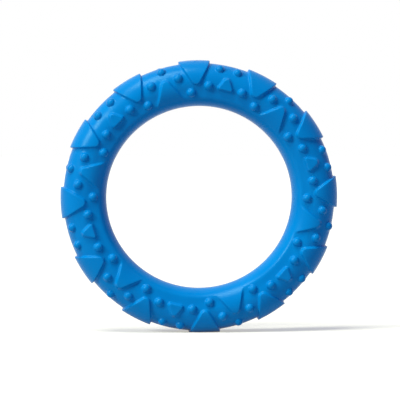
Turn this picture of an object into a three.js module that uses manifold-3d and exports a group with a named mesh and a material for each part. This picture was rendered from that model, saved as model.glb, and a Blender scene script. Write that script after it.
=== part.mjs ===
// Ring chew toy: a hollow ring of soft rubber, moulded as two half rings that are bonded face
// to face, with triangular pads and round nubs standing on both faces.
//
// Millimetres. +Z is up, the ring's axis is Y, and its front face looks towards -Y. The toy
// stands on the flat of its lowest pad, and the origin is on the floor below its centre.

import * as THREE from 'three';
import { mergeVertices } from 'three/addons/utils/BufferGeometryUtils.js';
import Module from 'manifold-3d';

const wasm = await Module();
wasm.setup();

// Ring, before it sags. A smooth band goes round the bore. Outside it the field lies lower by
// the height of the pads, and a straight ramp leads down to it from the lip of the band
const boreDiameter = 100;
const outsideDiameter = 150;
const padHeight = 1.6;
const bandWidth = 4.9;
const bandLip = 0.15;
const rampWidth = 4.5;
const wall = 4;

// Pose
const patternTurn = 2.2;
const sag = 0.0088;
const footDepth = 0.9;

// Pattern: one outer pad at the start and the middle of each repeat, with a large and a
// small inner pad between them
const repeats = 6;

// Outer pad, pointing at the bore, with its base on the rim
const outerPadWidth = 15.9;
const outerPadFlare = 0.8;
const outerPadLength = 14.8;
const outerPadTipRadius = 2.2;

// Inner pads, pointing at the rim: the large one grows out of the smooth band
const largePadWidth = 14.1;
const largePadLength = 14.5;
const largePadTipRadius = 2.1;
const smallPadWidth = 8.4;
const smallPadLength = 7.9;
const smallPadTipRadius = 1.6;
const smallPadCornerRadius = 0.8;
const smallPadFromBore = 10.1;

// Nubs: a turn is in degrees round the ring from the inner pad that the nub goes with, and a
// roll is in degrees round the tube from the bore
const nubRadius = 2.3;
const nubSink = 0.45;
const nubsByLargePad = [
	{ turn: 0, roll: 156.5 },
	{ turn: 6.6, roll: 113 },
	{ turn: -6.6, roll: 113 },
	{ turn: 12.3, roll: 64.5 },
	{ turn: -12.3, roll: 64.5 },
];
const nubsBySmallPad = [
	{ turn: 4.0, roll: 138 },
	{ turn: -4.0, roll: 138 },
	{ turn: 8.7, roll: 84.5 },
	{ turn: -8.7, roll: 84.5 },
];

// Bonded joint: a tongue on the front half's two lands and a groove in the back half's
const tongueWidth = 1.5;
const tongueHeight = 1.5;
const jointClearance = 0.3;

// Facets
const ringSteps = 48;
const tubeSteps = 16;
const fieldSteps = 10;
const tunnelSteps = 8;
const nubSteps = 8;
const nubRings = 4;
const cornerSteps = 2;

// Colour and finish
const rubberColour = 0x0a78c8;
const rubberRoughness = 0.45;

// Worked out
const boreRadius = boreDiameter / 2;
const outsideRadius = outsideDiameter / 2;
const fullTubeRadius = ( outsideRadius - boreRadius ) / 2;
const ringRadius = boreRadius + fullTubeRadius;
const fieldTubeRadius = fullTubeRadius - padHeight;
const fieldRimRadius = ringRadius + fieldTubeRadius;
const tunnelRadius = fieldTubeRadius - wall;
const bandRadius = boreRadius + bandWidth;
const rampTop = new THREE.Vector2( bandRadius, tubeHeight( fullTubeRadius, bandRadius ) - bandLip );
const rampFootRadius = bandRadius + rampWidth;
const rampFoot = new THREE.Vector2( rampFootRadius, tubeHeight( fieldTubeRadius, rampFootRadius ) );
const repeatAngle = 360 / repeats;
const smallPadTurn = repeatAngle / 4;
const largePadTurn = 3 * repeatAngle / 4;
const clearReach = outsideDiameter;
const centreHeight = ringRadius * ( 1 - sag ) + fullTubeRadius - footDepth;

// How far a tube's face stands from the ring's middle plane, at this distance from the axis

function tubeHeight( tubeRadius, fromAxis ) {

	return Math.sqrt( tubeRadius ** 2 - ( fromAxis - ringRadius ) ** 2 );

}

function radians( degrees ) {

	return THREE.MathUtils.degToRad( degrees );

}

// A closed geometry as a solid that can be joined and cut

function solidOf( geometry ) {

	const bare = geometry.index ? geometry.clone() : geometry;
	bare.deleteAttribute( 'normal' );
	bare.deleteAttribute( 'uv' );
	const merged = mergeVertices( bare );
	return new wasm.Manifold( new wasm.Mesh( {
		numProp: 3,
		vertProperties: new Float32Array( merged.attributes.position.array ),
		triVerts: new Uint32Array( merged.index.array ),
	} ) );

}

function geometryOf( solid ) {

	const mesh = solid.getMesh();
	const geometry = new THREE.BufferGeometry();
	geometry.setAttribute( 'position', new THREE.BufferAttribute( mesh.vertProperties, 3 ) );
	geometry.setIndex( new THREE.BufferAttribute( mesh.triVerts, 1 ) );
	geometry.computeVertexNormals();
	return geometry;

}

// A closed section turned about the Y axis, from points at ( distance from the axis, height
// along it ) that run round it counter-clockwise

function turned( section ) {

	return solidOf( new THREE.LatheGeometry( [ ...section, section[ 0 ] ], ringSteps ) );

}

// Points round the tube, at this radius from the tube's own centre, between two rolls

function tubeArc( tubeRadius, fromRoll, toRoll, steps ) {

	const points = [];
	for ( let i = 0; i <= steps; i ++ ) {

		const roll = fromRoll + ( toRoll - fromRoll ) * i / steps;
		const fromAxis = ringRadius - tubeRadius * Math.cos( roll );
		points.push( new THREE.Vector2( fromAxis, - tubeRadius * Math.sin( roll ) ) );

	}

	return points;

}

function tube( tubeRadius, steps ) {

	return turned( tubeArc( tubeRadius, 0, 2 * Math.PI, steps ).slice( 0, - 1 ) );

}

function collar( innerRadius, outerRadius, low, high ) {

	return turned( [
		new THREE.Vector2( innerRadius, low ),
		new THREE.Vector2( outerRadius, low ),
		new THREE.Vector2( outerRadius, high ),
		new THREE.Vector2( innerRadius, high ),
	] );

}

// The field: the recessed tube from ramp foot to ramp foot round the rim, with a ramp on each
// face up to the lip of the band

function field() {

	const footRoll = Math.acos( ( ringRadius - rampFootRadius ) / fieldTubeRadius );
	return turned( [
		new THREE.Vector2( rampTop.x, - rampTop.y ),
		...tubeArc( fieldTubeRadius, footRoll, 2 * Math.PI - footRoll, fieldSteps ),
		rampTop,
	] );

}

// The place on the +Y face of the field, or of the ramp, at this roll, and the way straight
// out of the rubber there

function fieldPlace( roll ) {

	const middle = new THREE.Vector2( ringRadius, 0 );
	const ray = new THREE.Vector2( - Math.cos( radians( roll ) ), Math.sin( radians( roll ) ) );
	const onField = ray.clone().multiplyScalar( fieldTubeRadius ).add( middle );
	if ( onField.x > rampFootRadius ) return { at: onField, outward: ray };
	const slope = rampFoot.clone().sub( rampTop ).normalize();
	const outward = new THREE.Vector2( - slope.y, slope.x );
	const reach = rampTop.clone().sub( middle ).dot( outward ) / ray.dot( outward );
	return { at: ray.multiplyScalar( reach ).add( middle ), outward };

}

// An outline with round corners, from a list of corners and their radii

function roundedOutline( corners ) {

	const outline = new THREE.Shape();
	corners.forEach( ( corner, i ) => {

		const before = corners[ ( i + corners.length - 1 ) % corners.length ].at;
		const after = corners[ ( i + 1 ) % corners.length ].at;
		const back = before.clone().sub( corner.at ).normalize();
		const on = after.clone().sub( corner.at ).normalize();
		const halfAngle = back.angleTo( on ) / 2;
		const reach = corner.radius / Math.tan( halfAngle );
		const arrive = corner.at.clone().addScaledVector( back, reach );
		const leave = corner.at.clone().addScaledVector( on, reach );
		if ( i === 0 ) outline.moveTo( arrive.x, arrive.y );
		else outline.lineTo( arrive.x, arrive.y );
		if ( corner.radius > 0 ) outline.quadraticCurveTo( corner.at.x, corner.at.y, leave.x, leave.y );

	} );
	outline.closePath();
	return outline;

}

function corner( fromAxis, across, radius = 0 ) {

	return { at: new THREE.Vector2( fromAxis, across ), radius };

}

// A pad's outline, drawn along +X, pushed through the whole ring and turned to its place

function padPrism( outline, turn ) {

	const geometry = new THREE.ExtrudeGeometry( outline, {
		depth: clearReach,
		bevelEnabled: false,
		curveSegments: cornerSteps,
	} );
	geometry.translate( 0, 0, - clearReach / 2 );
	geometry.rotateX( Math.PI / 2 );
	geometry.rotateY( - radians( turn ) );
	return solidOf( geometry );

}

function outerPadOutline() {

	const halfWidth = outerPadWidth / 2;
	const halfBase = halfWidth + outerPadFlare;
	const fieldEdge = Math.sqrt( fieldRimRadius ** 2 - halfWidth ** 2 );
	const past = outsideRadius + padHeight;
	return roundedOutline( [
		corner( outsideRadius - outerPadLength, 0, outerPadTipRadius ),
		corner( fieldEdge, - halfWidth ),
		corner( outsideRadius, - halfBase ),
		corner( past, - halfBase ),
		corner( past, halfBase ),
		corner( outsideRadius, halfBase ),
		corner( fieldEdge, halfWidth ),
	] );

}

function largePadOutline() {

	const base = Math.sqrt( bandRadius ** 2 - ( largePadWidth / 2 ) ** 2 );
	return roundedOutline( [
		corner( base + largePadLength, 0, largePadTipRadius ),
		corner( base, largePadWidth / 2 ),
		corner( base - bandWidth / 2, largePadWidth / 2 ),
		corner( base - bandWidth / 2, - largePadWidth / 2 ),
		corner( base, - largePadWidth / 2 ),
	] );

}

function smallPadOutline() {

	const base = boreRadius + smallPadFromBore;
	return roundedOutline( [
		corner( base + smallPadLength, 0, smallPadTipRadius ),
		corner( base, smallPadWidth / 2, smallPadCornerRadius ),
		corner( base, - smallPadWidth / 2, smallPadCornerRadius ),
	] );

}

// A round nub on the field, on the face that looks towards the given side of Y

function nub( turn, roll, side ) {

	const { at, outward } = fieldPlace( roll );
	const centre = at.addScaledVector( outward, - nubSink );
	const geometry = new THREE.SphereGeometry( nubRadius, nubSteps, nubRings );
	geometry.rotateZ( outward.angle() - Math.PI / 2 );
	geometry.translate( centre.x, centre.y, 0 );
	geometry.rotateX( side > 0 ? 0 : Math.PI );
	geometry.rotateY( - radians( turn ) );
	return solidOf( geometry );

}

function joined( solids ) {

	return solids.reduce( ( all, one ) => all.add( one ) );

}

// Every pad goes right through, so that both faces carry it

function allPads() {

	const pads = [];
	for ( let i = 0; i < repeats; i ++ ) {

		const start = i * repeatAngle;
		pads.push( padPrism( outerPadOutline(), start ) );
		pads.push( padPrism( smallPadOutline(), start + smallPadTurn ) );
		pads.push( padPrism( outerPadOutline(), start + repeatAngle / 2 ) );
		pads.push( padPrism( largePadOutline(), start + largePadTurn ) );

	}

	return joined( pads );

}

function nubsAround( padTurn, places, side ) {

	return places.map( ( { turn, roll } ) => nub( padTurn + turn, roll, side ) );

}

function allNubs() {

	const nubs = [];
	for ( let i = 0; i < repeats; i ++ ) {

		const start = i * repeatAngle;
		for ( const side of [ - 1, 1 ] ) {

			nubs.push( ...nubsAround( start + smallPadTurn, nubsBySmallPad, side ) );
			nubs.push( ...nubsAround( start + largePadTurn, nubsByLargePad, side ) );

		}

	}

	return joined( nubs );

}

// The whole ring: the full tube, cut down to the field between the band and the pads

function wholeRing() {

	const outsideBand = collar( bandRadius, clearReach, - clearReach, clearReach );
	const recess = outsideBand.subtract( field() ).subtract( allPads() );
	return tube( fullTubeRadius, tubeSteps )
		.subtract( recess )
		.add( allNubs() )
		.subtract( tube( tunnelRadius, tunnelSteps ) );

}

// The joint: the whole ring parts at y = 0, and each wall's land carries a tongue or a groove

function tongues( extra ) {

	const halfWidth = tongueWidth / 2 + extra;
	const low = - tongueHeight;
	const high = tongueHeight + extra;
	const landRadii = [
		( boreRadius + ringRadius - tunnelRadius ) / 2,
		( fieldRimRadius + ringRadius + tunnelRadius ) / 2,
	];
	const [ inner, outer ] = landRadii.map( ( at ) => collar( at - halfWidth, at + halfWidth, low, high ) );
	return inner.add( outer );

}

function halfSpace( side ) {

	const box = new THREE.BoxGeometry( 2 * clearReach, clearReach, 2 * clearReach );
	box.translate( 0, side * clearReach / 2, 0 );
	return solidOf( box );

}

// Standing under its own weight, the ring's centre line is an oval, wider than it is high.
// The tube keeps its section and its length, so each slice moves with the centre line

function standing( solid ) {

	const mesh = solid.getMesh();
	const points = mesh.vertProperties;
	const halfWidth = ringRadius * ( 1 + sag );
	const halfHeight = ringRadius * ( 1 - sag );
	for ( let i = 0; i < points.length; i += 3 ) {

		const round = Math.atan2( points[ i + 2 ], points[ i ] ) + radians( patternTurn );
		const off = Math.hypot( points[ i ], points[ i + 2 ] ) - ringRadius;
		const along = round + ( sag / 2 ) * Math.sin( 2 * round );
		const outward = new THREE.Vector2( halfHeight * Math.cos( along ), halfWidth * Math.sin( along ) );
		outward.setLength( off );
		points[ i ] = halfWidth * Math.cos( along ) + outward.x;
		points[ i + 2 ] = halfHeight * Math.sin( along ) + outward.y;

	}

	const floor = new THREE.BoxGeometry( 2 * clearReach, clearReach, clearReach );
	floor.translate( 0, 0, - centreHeight - clearReach / 2 );
	const stood = new wasm.Manifold( new wasm.Mesh( {
		numProp: 3,
		vertProperties: points,
		triVerts: mesh.triVerts,
	} ) );
	return stood.subtract( solidOf( floor ) );

}

// The two halves

function rubber() {

	return new THREE.MeshStandardMaterial( {
		color: rubberColour,
		roughness: rubberRoughness,
		metalness: 0,
	} );

}

function half( name, solid ) {

	const mesh = new THREE.Mesh( geometryOf( standing( solid ) ), rubber() );
	mesh.name = name;
	return mesh;

}

const ring = wholeRing();
const frontHalf = ring.intersect( halfSpace( - 1 ) ).add( tongues( 0 ) );
const backHalf = ring.intersect( halfSpace( 1 ) ).subtract( tongues( jointClearance ) );

const toy = new THREE.Group();
toy.name = 'ring_chew_toy';
toy.position.z = centreHeight;
toy.add( half( 'front_half', frontHalf ) );
toy.add( half( 'back_half', backHalf ) );

export default toy;
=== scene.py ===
# A ring chew toy of moulded blue rubber, standing on its rim on a white table.
#
# The ring is made as one cell, a twelfth of the ring with half a large pad, an outer pad and half
# a small pad. Geometry nodes mirror the cell and turn it round the ring's axis.

import math

import bpy
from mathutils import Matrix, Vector
from mathutils.geometry import delaunay_2d_cdt
from mathutils.kdtree import KDTree


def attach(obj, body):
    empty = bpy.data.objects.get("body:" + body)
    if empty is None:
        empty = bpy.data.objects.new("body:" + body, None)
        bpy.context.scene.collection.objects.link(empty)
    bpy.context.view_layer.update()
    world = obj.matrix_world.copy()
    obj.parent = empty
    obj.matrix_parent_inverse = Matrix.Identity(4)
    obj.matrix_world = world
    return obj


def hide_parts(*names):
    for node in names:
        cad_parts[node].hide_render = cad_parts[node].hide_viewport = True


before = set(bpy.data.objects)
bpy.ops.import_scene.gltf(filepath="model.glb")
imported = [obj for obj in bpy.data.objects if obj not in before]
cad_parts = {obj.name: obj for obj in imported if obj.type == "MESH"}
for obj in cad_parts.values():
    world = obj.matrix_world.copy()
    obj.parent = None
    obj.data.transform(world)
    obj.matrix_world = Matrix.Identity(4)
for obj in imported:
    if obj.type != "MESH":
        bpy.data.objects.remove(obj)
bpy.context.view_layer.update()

# Ring, in millimetres and before it sags, as in the solid model
BORE_RADIUS = 50.0
OUTSIDE_RADIUS = 75.0
PAD_HEIGHT = 1.6
BAND_WIDTH = 4.9
BAND_LIP = 0.15
RAMP_WIDTH = 4.5
WALL = 4.0

# Pose
PATTERN_TURN = math.radians(2.2)
SAG = 0.0088
FOOT_DEPTH = 0.9

# Pattern: the cell runs from the middle of a large pad to the middle of a small pad
REPEATS = 6
CELL_TURN = math.pi / REPEATS
LARGE_PAD_TURN = math.radians(45)
OUTER_PAD_TURN = CELL_TURN / 2

# Pads: where the tip would be if it were sharp, the base and its width, and the radii of the
# corners. The large pad runs into the band, and the small pad's top is flat along the tube, with
# its middle a little under the full tube
OUTER_PAD_TIP = 60.2
OUTER_PAD_WIDTH = 17.5
OUTER_PAD_RADIUS = 2.2
LARGE_PAD_TIP = 68.9
LARGE_PAD_BASE = 54.4
LARGE_PAD_WIDTH = 14.1
LARGE_PAD_RADIUS = 2.1
LARGE_PAD_OVERLAP = 1.5
SMALL_PAD_TIP = 68.0
SMALL_PAD_BASE = 60.1
SMALL_PAD_WIDTH = 8.4
SMALL_PAD_RADIUS = 1.6
SMALL_PAD_CORNER = 0.8
SMALL_PAD_DROP = 0.15

# A pad's wall: distance outside the pad's outline, and share of the pad's height there
PAD_WALL = [
    (-0.57, 1.0), (-0.34, 0.985), (-0.14, 0.93), (0.06, 0.80), (0.29, 0.57),
    (0.52, 0.34), (0.71, 0.18), (0.92, 0.075), (1.15, 0.02), (1.38, 0.0),
]

# Points nearer to an outer pad's side than the first distance shift along with it, and points
# beyond the second stay
LEAN_REACH = (1.5, 4.5)

# Nubs: turn from the middle of the cell's large pad, and roll round the tube from the bore
NUB_RADIUS = 2.55
NUB_SINK = 0.4
NUBS = [(0.0, 144.0), (6.6, 110.5), (12.3, 64.5), (21.3, 83.5), (26.0, 140.0)]
NUB_CAP = [18, 34, 48, 60, 70]
NUB_FOOT = [(-0.03, 0.16), (0.12, 0.06), (0.35, 0.0)]
NUB_SIDES = 20

# Rounding of the shoulder beside the band and of the ramp's foot, and the parting line
SHOULDER_BLEND = 0.5
FOOT_BLEND = 0.25
PARTING_DEPTH = 0.04
PARTING_REACH = 0.25

# Mesh: steps between points, the clearance of plain skin from other points, and the weld
# distance in metres
SKIN_STEP = 1.0
SHOULDER_STEP = 0.5
SHOULDER_BEFORE = 1.5
SHOULDER_AFTER = 2.0
EDGE_STEP = 0.7
FEWEST_ARC_STEPS = 3
FEWEST_LINE_STEPS = 2
SIDE_CLEARANCE = 0.2 * SKIN_STEP
SKIN_CLEARANCE = 0.5 * SKIN_STEP
NUB_CLEARANCE = 0.9
TUNNEL_ROWS = 10
TUNNEL_COLUMNS = 6
SETTLING_ROUNDS = 5
HALVINGS = 40
PLAN_TOLERANCE = 1e-6
WELD = 3e-6
SNAP = 1e-4
SHARP_ANGLE = math.radians(62)
MM = 0.001

# Worked out
TUBE_RADIUS = (OUTSIDE_RADIUS - BORE_RADIUS) / 2
RING_RADIUS = BORE_RADIUS + TUBE_RADIUS
FIELD_RADIUS = TUBE_RADIUS - PAD_HEIGHT
TUNNEL_RADIUS = FIELD_RADIUS - WALL
BAND_RADIUS = BORE_RADIUS + BAND_WIDTH
CENTRE_HEIGHT = RING_RADIUS * (1 - SAG) + TUBE_RADIUS - FOOT_DEPTH
SKIN_WIDTH = math.pi * TUBE_RADIUS
CELL_LENGTH = CELL_TURN * RING_RADIUS

# Camera and light. The frame's width is measured at the ring, a soft box's tilt is from the
# ring's axis, and its turn is round that axis from the right
CAMERA_DISTANCE = 2.5
CAMERA_SIDE = math.radians(4.2)
CAMERA_ELEVATION = math.radians(2.3)
FRAME_WIDTH = 0.2178
SENSOR_WIDTH = 36.0
PICTURE_SIZE = 400
RING_CENTRE_PIXEL = (199.1, 196.9)
OVERHEAD_STRENGTH = 3.0
OVERHEAD_WIDTH = math.radians(28)
OVERHEAD_TILT = math.radians(74)
OVERHEAD_TURN = math.radians(106)
SIDE_STRENGTH = 2.6
SIDE_WIDTH = math.radians(20)
SIDE_TILT = math.radians(62)
SIDE_TURN = math.radians(146)
FILL_STRENGTH = 0.32
FLOOR_SIZE = 6.0


# The tube's section: a smooth band round the bore, a ramp and the field under the pads

def face_height(tube, from_axis):
    return math.sqrt(tube ** 2 - (from_axis - RING_RADIUS) ** 2)


RAMP_TOP = Vector((BAND_RADIUS, face_height(TUBE_RADIUS, BAND_RADIUS) - BAND_LIP))
RAMP_FOOT = Vector((BAND_RADIUS + RAMP_WIDTH, face_height(FIELD_RADIUS, BAND_RADIUS + RAMP_WIDTH)))
RAMP_SLOPE = (RAMP_FOOT - RAMP_TOP).normalized()
RAMP_TILT = math.atan2(RAMP_SLOPE.y, RAMP_SLOPE.x)
RAMP_REACH = (RAMP_TOP.x - RING_RADIUS) * -RAMP_SLOPE.y + RAMP_TOP.y * RAMP_SLOPE.x


def blend_low(a, b, width):
    near = max(width - abs(a - b), 0) / width
    return min(a, b) - near * near * width / 4


def base_radius(roll):
    """How far the band, ramp or field lies from the tube's middle, at this roll from the bore."""
    ramp = RAMP_REACH / math.sin(min(roll + RAMP_TILT, math.pi / 2))
    low = -blend_low(-ramp, -FIELD_RADIUS, FOOT_BLEND)
    return blend_low(low, TUBE_RADIUS, SHOULDER_BLEND)


def own_roll(roll, radius):
    """The roll of a point at this radius that lies straight under the full tube's roll.

    On the faces straight under means along the ring's axis, and at the rim towards the tube's
    middle.
    """
    turning = math.radians(120)
    straight = min(roll, turning)
    shift = math.acos(max(-1, min(1, TUBE_RADIUS * math.cos(straight) / radius))) - straight
    return roll + shift * (math.pi - roll) / (math.pi - straight)


def smooth_step(low, high, value):
    share = max(0, min(1, (value - low) / (high - low)))
    return share * share * (3 - 2 * share)


def parting_dip(roll):
    from_seam = min(roll, math.pi - roll) * TUBE_RADIUS
    return PARTING_DEPTH * (1 - smooth_step(0, PARTING_REACH, from_seam))


def on_skin(roll, turn, share=0):
    """The point of the ring's skin at this place, with a share of the pads' height."""
    radius = TUBE_RADIUS
    for _ in range(SETTLING_ROUNDS):
        own = own_roll(roll, radius)
        low = base_radius(own)
        radius = low + (TUBE_RADIUS - low) * share
    from_axis = RING_RADIUS - radius * math.cos(own)
    above = RING_RADIUS - TUBE_RADIUS * math.cos(roll)
    turn += lean(above, from_axis - above, turn)
    radius -= parting_dip(roll)
    from_axis = RING_RADIUS - radius * math.cos(own)
    return Vector((from_axis * math.cos(turn), -radius * math.sin(own), from_axis * math.sin(turn)))


# The pads' outlines, seen along the ring's axis, with +X along the middle of the pad

def half_angle(tip, base, width):
    return math.atan2(width / 2, abs(tip - base))


OUTER_BASE = math.sqrt(OUTSIDE_RADIUS ** 2 - (OUTER_PAD_WIDTH / 2) ** 2)
OUTER_ANGLE = half_angle(OUTER_PAD_TIP, OUTER_BASE, OUTER_PAD_WIDTH)
LARGE_ANGLE = half_angle(LARGE_PAD_TIP, LARGE_PAD_BASE, LARGE_PAD_WIDTH)
SMALL_ANGLE = half_angle(SMALL_PAD_TIP, SMALL_PAD_BASE, SMALL_PAD_WIDTH)


def lean(above, outward, turn):
    """The outer pad's sides keep their line down to the field, so a lower point shifts along."""
    off = turn - OUTER_PAD_TURN
    place = Vector((above * math.cos(off), abs(above * math.sin(off))))
    normal = Vector((-math.sin(OUTER_ANGLE), math.cos(OUTER_ANGLE)))
    gap = abs((place - Vector((OUTER_PAD_TIP, 0))).dot(normal))
    near = 1 - smooth_step(*LEAN_REACH, gap)
    return math.copysign(1, off) * near * outward * math.tan(OUTER_ANGLE) / above


def arc(centre, radius, start, end, step=EDGE_STEP):
    count = max(FEWEST_ARC_STEPS, math.ceil(abs(end - start) * radius / step))
    turns = [start + (end - start) * i / count for i in range(count + 1)]
    return [centre + radius * Vector((math.cos(t), math.sin(t))) for t in turns]


def line(start, end, step=EDGE_STEP):
    count = max(FEWEST_LINE_STEPS, math.ceil((end - start).length / step))
    return [start.lerp(end, i / count) for i in range(count + 1)]


def line_to_circle(start, along, radius):
    """A straight edge from start to this distance from the axis, in even steps over the tube."""
    first = math.acos((RING_RADIUS - start.length) / TUBE_RADIUS)
    last = math.acos((RING_RADIUS - radius) / TUBE_RADIUS)
    count = math.ceil(abs(last - first) * TUBE_RADIUS / EDGE_STEP)
    reach = start.dot(along)
    points = []
    for i in range(count + 1):
        from_axis = RING_RADIUS - TUBE_RADIUS * math.cos(first + (last - first) * i / count)
        far = math.sqrt(reach ** 2 - start.length_squared + from_axis ** 2)
        points.append(start + along * (math.copysign(far, reach) - reach))
    return points


def outer_pad_edge(gap):
    angle = OUTER_ANGLE
    middle = Vector((OUTER_PAD_TIP + OUTER_PAD_RADIUS / math.sin(angle), 0))
    tip = arc(middle, OUTER_PAD_RADIUS + gap, math.pi, math.pi / 2 + angle)
    side = Vector((math.cos(angle), math.sin(angle)))
    return tip[:-1] + line_to_circle(tip[-1], side, OUTSIDE_RADIUS)


def large_pad_edge(gap):
    angle = LARGE_ANGLE
    middle = Vector((LARGE_PAD_TIP - LARGE_PAD_RADIUS / math.sin(angle), 0))
    tip = arc(middle, LARGE_PAD_RADIUS + gap, 0, math.pi / 2 - angle)
    side = Vector((-math.cos(angle), math.sin(angle)))
    return tip[:-1] + line_to_circle(tip[-1], side, BAND_RADIUS - LARGE_PAD_OVERLAP)


def small_pad_edge(gap):
    angle = SMALL_ANGLE
    middle = Vector((SMALL_PAD_TIP - SMALL_PAD_RADIUS / math.sin(angle), 0))
    tip = arc(middle, SMALL_PAD_RADIUS + gap, 0, math.pi / 2 - angle)
    inset = SMALL_PAD_BASE + SMALL_PAD_CORNER
    across = ((SMALL_PAD_TIP - inset) * math.sin(angle) - SMALL_PAD_CORNER) / math.cos(angle)
    corner = arc(Vector((inset, across)), SMALL_PAD_CORNER + gap, math.pi / 2 - angle, math.pi)
    base = line(corner[-1], Vector((corner[-1].x, 0)))
    return tip[:-1] + line(tip[-1], corner[0])[:-1] + corner[:-1] + base


# One cell of the skin, as a flat plan that is triangulated and then laid on the tube

class Plan:
    """Points of the cell, each with its place in the plan and on the ring, and kept edges."""

    def __init__(self):
        self.flat = []
        self.solid = []
        self.edges = []

    def add(self, flat, solid):
        self.flat.append(Vector(flat))
        self.solid.append(solid)
        return len(self.flat) - 1

    def add_line(self, points, closed=False):
        ids = [self.add(flat, solid) for flat, solid in points]
        self.edges += list(zip(ids, ids[1:]))
        if closed:
            self.edges.append((ids[-1], ids[0]))

    def on_side(self, axis, value):
        """The points on one side of the plan, in order along it."""
        found = [i for i, p in enumerate(self.flat) if abs(p[axis] - value) < SNAP]
        return sorted(found, key=lambda i: self.flat[i][1 - axis])

    def close_sides(self, width, length):
        for axis, value in ((0, 0), (0, width), (1, 0), (1, length)):
            side = self.on_side(axis, value)
            self.edges += list(zip(side, side[1:]))

    def triangles(self):
        points, _, faces, sources, _, _ = delaunay_2d_cdt(self.flat, self.edges, [], 0, PLAN_TOLERANCE)
        if not all(sources):
            raise ValueError("two kept edges of the plan cross")
        first = [source[0] for source in sources]
        return [[first[i] for i in face] for face in faces]


def on_plan(roll, turn):
    return (roll * TUBE_RADIUS, turn * RING_RADIUS)


def roll_at(from_axis):
    """The full tube's roll at this distance from the ring's axis, seen from the front."""
    if from_axis > OUTSIDE_RADIUS - SNAP:
        return math.pi
    return math.acos((RING_RADIUS - from_axis) / TUBE_RADIUS)


def add_pad(plan, edge, middle, sides, rise=lambda roll: 1):
    for gap, share in PAD_WALL:
        for side in sides:
            points = []
            for point in edge(gap):
                roll = roll_at(point.length)
                turn = middle + side * math.atan2(point.y, point.x)
                points.append((on_plan(roll, turn), on_skin(roll, turn, share * rise(roll))))
            plan.add_line(points)


def small_pad_rise(roll):
    """Share of the pads' height that makes the small pad's top flat along the tube."""
    ends = SMALL_PAD_BASE, SMALL_PAD_TIP - SMALL_PAD_RADIUS
    middle = sum(roll_at(end) for end in ends) / 2
    top = (TUBE_RADIUS - SMALL_PAD_DROP) / math.cos(roll - middle)
    return (top - FIELD_RADIUS) / PAD_HEIGHT


def plan_roll(own):
    """The full tube's roll above a point of the band, ramp or field with this roll of its own."""
    low, high = 0, math.pi
    for _ in range(HALVINGS):
        roll = (low + high) / 2
        if own_roll(roll, base_radius(own)) < own:
            low = roll
        else:
            high = roll
    return roll


def add_nub(plan, turn, own):
    roll = plan_roll(own)
    place = on_skin(roll, turn)
    flat = Vector(on_plan(roll, turn))
    nudge = 0.01
    along = (on_skin(roll + nudge, turn) - place) / nudge
    across = (on_skin(roll, turn + nudge) - place) / nudge
    scale = Vector((TUBE_RADIUS / along.length, RING_RADIUS / across.length))
    along.normalize()
    outward = along.cross(across).normalized()
    across = outward.cross(along)
    middle = place - outward * NUB_SINK
    half = turn == 0
    plan.add(flat, middle + outward * NUB_RADIUS)
    rings = [(NUB_RADIUS * math.sin(math.radians(tilt)), tilt, 0) for tilt in NUB_CAP]
    edge = math.sqrt(NUB_RADIUS ** 2 - NUB_SINK ** 2)
    rings += [(edge + past, None, height) for past, height in NUB_FOOT]
    for reach, tilt, height in rings:
        points = []
        count = NUB_SIDES // 2 + 1 if half else NUB_SIDES
        for i in range(count):
            angle = 2 * math.pi * i / NUB_SIDES
            step = Vector((math.cos(angle), math.sin(angle)))
            if half and i in (0, count - 1):
                step.y = 0
            spot = flat + Vector((step.x * scale.x, step.y * scale.y)) * reach
            if tilt is None:
                base = on_skin(spot.x / TUBE_RADIUS, spot.y / RING_RADIUS)
                solid = base + outward * height
            else:
                rise = NUB_RADIUS * math.cos(math.radians(tilt))
                solid = middle + outward * rise + (along * step.x + across * step.y) * reach
            points.append((spot, solid))
        plan.add_line(points, closed=not half)


def skin_rows():
    """Where the rows of plain skin lie, closer together at the shoulder and the parting line."""
    band = math.acos((RING_RADIUS - BAND_RADIUS) / TUBE_RADIUS) * TUBE_RADIUS
    rows = [0, PARTING_REACH / 2, PARTING_REACH]
    place = SKIN_STEP
    while place < SKIN_WIDTH - SKIN_STEP:
        rows.append(place)
        beside_band = band - SHOULDER_BEFORE < place < band + SHOULDER_AFTER
        place += SHOULDER_STEP if beside_band else SKIN_STEP
    return rows + [SKIN_WIDTH - PARTING_REACH, SKIN_WIDTH - PARTING_REACH / 2, SKIN_WIDTH]


def add_plain_skin(plan, clear_spots):
    kept = KDTree(len(plan.flat))
    for i, point in enumerate(plan.flat):
        kept.insert((point.x, point.y, 0), i)
    kept.balance()
    columns = round(CELL_LENGTH / SKIN_STEP)
    for j, row in enumerate(skin_rows()):
        shift = 0.5 if j % 2 else 0
        places = {0, columns} | {i + shift for i in range(columns)}
        for place in sorted(places):
            flat = Vector((row, CELL_LENGTH * place / columns))
            on_edge = row in (0, SKIN_WIDTH) or place in (0, columns)
            near = kept.find((flat.x, flat.y, 0))[2]
            if near < (SIDE_CLEARANCE if on_edge else SKIN_CLEARANCE):
                continue
            if any((flat - spot).length < reach for spot, reach in clear_spots):
                continue
            plan.add(flat, on_skin(flat.x / TUBE_RADIUS, flat.y / RING_RADIUS, pad_share(flat)))


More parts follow.
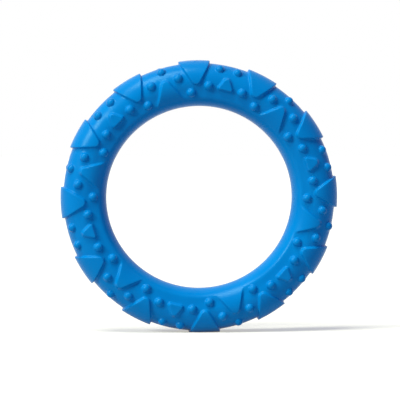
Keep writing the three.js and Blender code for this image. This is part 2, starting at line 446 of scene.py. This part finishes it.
def pad_share(flat):
    """The share of the pads' height for plain skin: 0 on the field, and 1 on most pads' tops."""
    from_axis = RING_RADIUS - TUBE_RADIUS * math.cos(flat.x / TUBE_RADIUS)
    turn = flat.y / RING_RADIUS

    def seen_from(middle):
        off = abs(turn - middle)
        return from_axis * math.cos(off), from_axis * math.sin(off)

    x, y = seen_from(OUTER_PAD_TURN)
    tip = OUTER_PAD_TIP + OUTER_PAD_RADIUS / math.sin(OUTER_ANGLE) - OUTER_PAD_RADIUS
    if x > tip and y < (x - OUTER_PAD_TIP) * math.tan(OUTER_ANGLE):
        return 1
    x, y = seen_from(0)
    tip = LARGE_PAD_TIP - LARGE_PAD_RADIUS / math.sin(LARGE_ANGLE) + LARGE_PAD_RADIUS
    if x < tip and y < (LARGE_PAD_TIP - x) * math.tan(LARGE_ANGLE):
        return 1
    x, y = seen_from(CELL_TURN)
    tip = SMALL_PAD_TIP - SMALL_PAD_RADIUS / math.sin(SMALL_ANGLE) + SMALL_PAD_RADIUS
    if SMALL_PAD_BASE < x < tip and y < (SMALL_PAD_TIP - x) * math.tan(SMALL_ANGLE):
        return small_pad_rise(flat.x / TUBE_RADIUS)
    return 0


def skin_plan():
    plan = Plan()
    add_pad(plan, outer_pad_edge, OUTER_PAD_TURN, (1, -1))
    add_pad(plan, large_pad_edge, 0, (1,))
    add_pad(plan, small_pad_edge, CELL_TURN, (-1,), small_pad_rise)
    clear_spots = []
    for turn, roll in NUBS:
        own = math.radians(roll)
        spot = Vector(on_plan(plan_roll(own), math.radians(turn)))
        clear_spots.append((spot, NUB_RADIUS + NUB_CLEARANCE))
        add_nub(plan, math.radians(turn), own)
    add_plain_skin(plan, clear_spots)
    plan.close_sides(SKIN_WIDTH, CELL_LENGTH)
    return plan


def inside_plan(skin):
    """The bonded faces and the air channel, from the rim's parting line to the bore's."""
    land = TUBE_RADIUS - TUNNEL_RADIUS
    width = 2 * land + math.pi * TUNNEL_RADIUS
    plan = Plan()
    for i in skin.on_side(0, SKIN_WIDTH):
        plan.add((0, skin.flat[i].y), skin.solid[i])
    for i in skin.on_side(0, 0):
        plan.add((width, skin.flat[i].y), skin.solid[i])
    for row in range(TUNNEL_ROWS + 1):
        roll = math.pi * (1 - row / TUNNEL_ROWS)
        from_axis = RING_RADIUS - TUNNEL_RADIUS * math.cos(roll)
        for column in range(TUNNEL_COLUMNS + 1):
            turn = CELL_TURN * column / TUNNEL_COLUMNS
            solid = Vector((
                from_axis * math.cos(turn),
                -TUNNEL_RADIUS * math.sin(roll),
                from_axis * math.sin(turn),
            ))
            plan.add((land + (math.pi - roll) * TUNNEL_RADIUS, turn * RING_RADIUS), solid)
    plan.close_sides(width, CELL_LENGTH)
    return plan


def cell_mesh():
    mesh = bpy.data.meshes.new("ring_cell")
    points, faces = [], []
    skin = skin_plan()
    for plan in (skin, inside_plan(skin)):
        start = len(points)
        points += [point * MM for point in plan.solid]
        faces += [[start + i for i in face] for face in plan.triangles()]
    mesh.from_pydata(points, [], faces)
    return mesh


# The ring from its cell, and its pose

def add_node(tree, kind, links=(), **settings):
    """Add a node, set its values and inputs, and link its inputs to other nodes' outputs."""
    node = tree.nodes.new(kind)
    for name, value in settings.items():
        if name in node.inputs:
            node.inputs[name].default_value = value
        else:
            setattr(node, name, value)
    for name, source in dict(links).items():
        tree.links.new(source, node.inputs[name])
    return node


def ring_tree():
    """The cell and its mirror image, turned round the ring's axis and welded into one skin."""
    tree = bpy.data.node_groups.new("ring_from_cell", "GeometryNodeTree")
    for name, kind in (
        ("Cell", "NodeSocketGeometry"), ("Repeats", "NodeSocketInt"),
        ("Weld distance", "NodeSocketFloat"), ("Finish", "NodeSocketMaterial"),
    ):
        tree.interface.new_socket(name, in_out="INPUT", socket_type=kind)
    tree.interface.new_socket("Ring", in_out="OUTPUT", socket_type="NodeSocketGeometry")
    given = add_node(tree, "NodeGroupInput").outputs
    mirrored = add_node(
        tree, "GeometryNodeTransform", {"Geometry": given["Cell"]}, Scale=(1, 1, -1)
    ).outputs["Geometry"]
    turned = add_node(tree, "GeometryNodeFlipFaces", {"Mesh": mirrored}).outputs["Mesh"]
    pair = add_node(tree, "GeometryNodeJoinGeometry")
    tree.links.new(given["Cell"], pair.inputs["Geometry"])
    tree.links.new(turned, pair.inputs["Geometry"])
    spots = add_node(
        tree, "GeometryNodeMeshLine", {"Count": given["Repeats"]}, Offset=(0, 0, 0)
    ).outputs["Mesh"]
    number = add_node(tree, "GeometryNodeInputIndex").outputs["Index"]
    whole = add_node(tree, "ShaderNodeMath", {0: number, 1: given["Repeats"]}, operation="DIVIDE")
    angle = add_node(tree, "ShaderNodeMath", {0: whole.outputs[0]}, operation="MULTIPLY")
    angle.inputs[1].default_value = 2 * math.pi
    about_axis = add_node(tree, "ShaderNodeCombineXYZ", {"Y": angle.outputs[0]}).outputs[0]
    copies = add_node(tree, "GeometryNodeInstanceOnPoints", {
        "Points": spots, "Instance": pair.outputs["Geometry"], "Rotation": about_axis,
    }).outputs["Instances"]
    real = add_node(tree, "GeometryNodeRealizeInstances", {"Geometry": copies}).outputs["Geometry"]
    welded = add_node(tree, "GeometryNodeMergeByDistance", {
        "Geometry": real, "Distance": given["Weld distance"],
    }).outputs["Geometry"]
    finished = add_node(tree, "GeometryNodeSetMaterial", {
        "Geometry": welded, "Material": given["Finish"],
    }).outputs["Geometry"]
    add_node(tree, "NodeGroupOutput", {"Ring": finished})
    return tree


def set_input(modifier, name, value):
    for item in modifier.node_group.interface.items_tree:
        if item.in_out == "INPUT" and item.name == name:
            modifier[item.identifier] = value


def standing(point):
    """Where a point of the free ring lies once the ring stands, sags and presses its foot flat."""
    ring_radius = RING_RADIUS * MM
    turn = math.atan2(point.z, point.x) + PATTERN_TURN + LARGE_PAD_TURN
    off = math.hypot(point.x, point.z) - ring_radius
    along = turn + SAG / 2 * math.sin(2 * turn)
    wide = ring_radius * (1 + SAG)
    high = ring_radius * (1 - SAG)
    outward = Vector((high * math.cos(along), wide * math.sin(along))).normalized() * off
    height = high * math.sin(along) + outward.y + CENTRE_HEIGHT * MM
    return Vector((wide * math.cos(along) + outward.x, point.y, max(height, 0)))


def ring_half(name, node, cell, tree, finish, behind):
    holder = bpy.data.objects.new(name + "_cell", cell)
    bpy.context.scene.collection.objects.link(holder)
    repeat = holder.modifiers.new("ring_from_cell", "NODES")
    repeat.node_group = tree
    set_input(repeat, "Repeats", REPEATS)
    set_input(repeat, "Weld distance", WELD)
    set_input(repeat, "Finish", finish)
    ready = holder.evaluated_get(bpy.context.evaluated_depsgraph_get())
    mesh = bpy.data.meshes.new_from_object(ready)
    bpy.data.objects.remove(holder)
    mesh.name = name
    for vertex in mesh.vertices:
        vertex.co = standing(vertex.co)
        if behind:
            vertex.co.y = -vertex.co.y
    if behind:
        mesh.flip_normals()
    mesh.shade_smooth()
    mesh.set_sharp_from_angle(angle=SHARP_ANGLE)
    half = bpy.data.objects.new(name, mesh)
    bpy.context.scene.collection.objects.link(half)
    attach(half, "root")
    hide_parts(node)
    return half


# Finish

def colour(hex_code):
    """An sRGB hex code as linear red, green, blue and alpha."""
    values = [int(hex_code[i:i + 2], 16) / 255 for i in (1, 3, 5)]
    return [v / 12.92 if v <= 0.04045 else ((v + 0.055) / 1.055) ** 2.4 for v in values] + [1]


def moulded_rubber():
    """Thermoplastic rubber from a polished mould: satin, with a faint mottle and a fine grain."""
    mottle_size = 14 * MM
    grain_size = 0.7 * MM
    material = bpy.data.materials.new("moulded_blue_rubber")
    material.use_nodes = True
    tree = material.node_tree
    shader = tree.nodes["Principled BSDF"]
    place = add_node(tree, "ShaderNodeTexCoord").outputs["Object"]
    mottle = add_node(
        tree, "ShaderNodeTexNoise", {"Vector": place}, Scale=1 / mottle_size, Detail=2
    ).outputs["Fac"]
    tint = add_node(tree, "ShaderNodeValToRGB", {"Fac": mottle})
    tint.color_ramp.elements[0].position = 0.3
    tint.color_ramp.elements[0].color = colour("#0072bb")
    tint.color_ramp.elements[1].position = 0.7
    tint.color_ramp.elements[1].color = colour("#0077c0")
    tree.links.new(tint.outputs["Color"], shader.inputs["Base Color"])
    grain = add_node(
        tree, "ShaderNodeTexNoise", {"Vector": place}, Scale=1 / grain_size, Detail=3
    ).outputs["Fac"]
    gloss = add_node(tree, "ShaderNodeMapRange", {"Value": grain})
    gloss.inputs["To Min"].default_value = 0.22
    gloss.inputs["To Max"].default_value = 0.3
    tree.links.new(gloss.outputs["Result"], shader.inputs["Roughness"])
    bump = add_node(tree, "ShaderNodeBump", {"Height": grain}, Strength=0.15, Distance=0.04 * MM)
    tree.links.new(bump.outputs["Normal"], shader.inputs["Normal"])
    shader.inputs["IOR"].default_value = 1.5
    shader.inputs["Specular IOR Level"].default_value = 0.1
    shader.inputs["Specular Tint"].default_value = colour("#b4faff")
    return material


# Table, light and camera

def camera_ray_share(tree):
    """1 where the camera or a mirror image looks straight at the background."""
    path = add_node(tree, "ShaderNodeLightPath").outputs
    seen = add_node(tree, "ShaderNodeMath", {
        0: path["Is Camera Ray"], 1: path["Is Glossy Ray"],
    }, operation="MAXIMUM")
    return add_node(tree, "ShaderNodeMath", {
        0: seen.outputs[0], 1: path["Is Transmission Ray"],
    }, operation="MAXIMUM").outputs[0]


def table():
    """A white table that keeps the ring's shadow and runs out to a white background."""
    material = bpy.data.materials.new("white_table")
    material.use_nodes = True
    tree = material.node_tree
    tree.nodes.clear()
    matt = add_node(tree, "ShaderNodeBsdfDiffuse", Color=colour("#c0c0c0")).outputs["BSDF"]
    lift = add_node(tree, "ShaderNodeEmission", {"Strength": camera_ray_share(tree)})
    lift.inputs["Color"].default_value = colour("#bcb9ad")
    both = add_node(tree, "ShaderNodeAddShader", {0: matt, 1: lift.outputs["Emission"]})
    add_node(tree, "ShaderNodeOutputMaterial", {"Surface": both.outputs["Shader"]})
    half = FLOOR_SIZE / 2
    mesh = bpy.data.meshes.new("table")
    mesh.from_pydata(
        [(-half, -half, 0), (half, -half, 0), (half, half, 0), (-half, half, 0)], [], [(0, 1, 2, 3)]
    )
    mesh.materials.append(material)
    top = bpy.data.objects.new("table", mesh)
    bpy.context.scene.collection.objects.link(top)


def fill_light():
    """Soft bluish light from all round, and plain white where the camera looks past the table."""
    world = bpy.data.worlds.new("studio")
    bpy.context.scene.world = world
    world.use_nodes = True
    tree = world.node_tree
    tree.nodes.clear()
    fill = add_node(
        tree, "ShaderNodeBackground", Color=colour("#7096ff"), Strength=FILL_STRENGTH
    ).outputs["Background"]
    white = add_node(
        tree, "ShaderNodeBackground", Color=colour("#ffffff"), Strength=1
    ).outputs["Background"]
    light = add_node(tree, "ShaderNodeMixShader", {0: camera_ray_share(tree), 1: fill, 2: white})
    add_node(tree, "ShaderNodeOutputWorld", {"Surface": light.outputs["Shader"]})


def soft_box(name, strength, width, tilt, turn):
    """A far soft box, whose width is the angle it fills as seen from the ring."""
    towards = Vector((
        math.sin(tilt) * math.cos(turn), -math.cos(tilt), math.sin(tilt) * math.sin(turn)
    ))
    lamp = bpy.data.lights.new(name, "SUN")
    lamp.energy = strength
    lamp.angle = width
    lamp.color = colour("#ffffe8")[:3]
    box = bpy.data.objects.new(name, lamp)
    box.rotation_euler = towards.to_track_quat("Z", "Y").to_euler()
    bpy.context.scene.collection.objects.link(box)


def camera():
    lens = SENSOR_WIDTH * CAMERA_DISTANCE / FRAME_WIDTH
    data = bpy.data.cameras.new("camera")
    data.sensor_width = SENSOR_WIDTH
    data.lens = lens
    middle = PICTURE_SIZE / 2
    data.shift_x = (middle - RING_CENTRE_PIXEL[0]) / PICTURE_SIZE
    data.shift_y = (RING_CENTRE_PIXEL[1] - middle) / PICTURE_SIZE
    body = bpy.data.objects.new("camera", data)
    target = Vector((0, 0, CENTRE_HEIGHT * MM))
    level = math.cos(CAMERA_ELEVATION)
    back = Vector((
        -math.sin(CAMERA_SIDE) * level, -math.cos(CAMERA_SIDE) * level, math.sin(CAMERA_ELEVATION)
    ))
    body.location = target + back * CAMERA_DISTANCE
    body.rotation_euler = back.to_track_quat("Z", "Y").to_euler()
    bpy.context.scene.collection.objects.link(body)
    bpy.context.scene.camera = body


bpy.context.scene.view_settings.view_transform = "Standard"
camera()
soft_box("overhead_soft_box", OVERHEAD_STRENGTH, OVERHEAD_WIDTH, OVERHEAD_TILT, OVERHEAD_TURN)
soft_box("side_soft_box", SIDE_STRENGTH, SIDE_WIDTH, SIDE_TILT, SIDE_TURN)
fill_light()
table()
rubber = moulded_rubber()
cell = cell_mesh()
tree = ring_tree()
ring_half("front_skin", "front_half", cell, tree, rubber, behind=False)
ring_half("back_skin", "back_half", cell, tree, rubber, behind=True)
